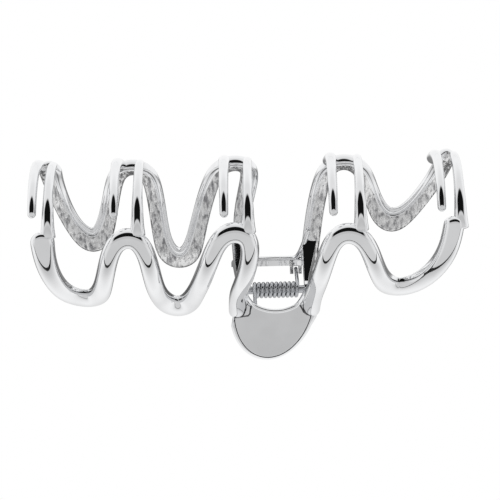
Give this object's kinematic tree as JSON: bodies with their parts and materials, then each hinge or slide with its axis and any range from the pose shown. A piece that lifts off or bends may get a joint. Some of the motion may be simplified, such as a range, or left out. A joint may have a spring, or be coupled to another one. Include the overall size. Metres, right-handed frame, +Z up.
{
  "type": "claw hair clip",
  "caption": "Metal claw hair clip: wavy cast jaws with curved crossing teeth and thumb pads, sprung shut on a hinge pin.",
  "frame": {"origin": "the middle of the clip's length and depth, on the surface that the tips of the thumb pads stand on", "axes": "+X along the hinge pin towards the shorter wing, +Y from the front jaw to the back jaw, +Z up from the thumb pads to the teeth"},
  "size_m": [0.0958, 0.0354, 0.0412],
  "materials": {
    "chrome_casting": "bright plated die casting",
    "spring_steel": "drawn and plated wire"
  },
  "bodies": {
    "front_jaw": {"front_left_bar": "chrome_casting", "front_right_bar": "chrome_casting", "front_thumb_pad": "chrome_casting", "front_left_ear": "chrome_casting", "front_right_ear": "chrome_casting", "front_spring_seat": "chrome_casting", "front_tooth_1": "chrome_casting", "front_tooth_2": "chrome_casting", "front_tooth_3": "chrome_casting", "front_tooth_4": "chrome_casting", "front_tooth_5": "chrome_casting", "hinge_pin": "spring_steel", "torsion_spring": "spring_steel"},
    "back_jaw": {"back_left_bar": "chrome_casting", "back_right_bar": "chrome_casting", "back_thumb_pad": "chrome_casting", "back_left_ear": "chrome_casting", "back_right_ear": "chrome_casting", "back_spring_seat": "chrome_casting", "back_tooth_1": "chrome_casting", "back_tooth_2": "chrome_casting", "back_tooth_3": "chrome_casting", "back_tooth_4": "chrome_casting", "back_tooth_5": "chrome_casting"}
  },
  "joints": [
    {"name": "jaw_hinge", "type": "hinge", "parent": "front_jaw", "child": "back_jaw", "pos_m": [0.00615, 0, 0.0067], "axis": [-1, 0, 0], "range_deg": [0, 75], "stiffness_Nm_per_rad": 0.049, "springref_deg": -51.57, "deforming": ["torsion_spring"]}
  ]
}
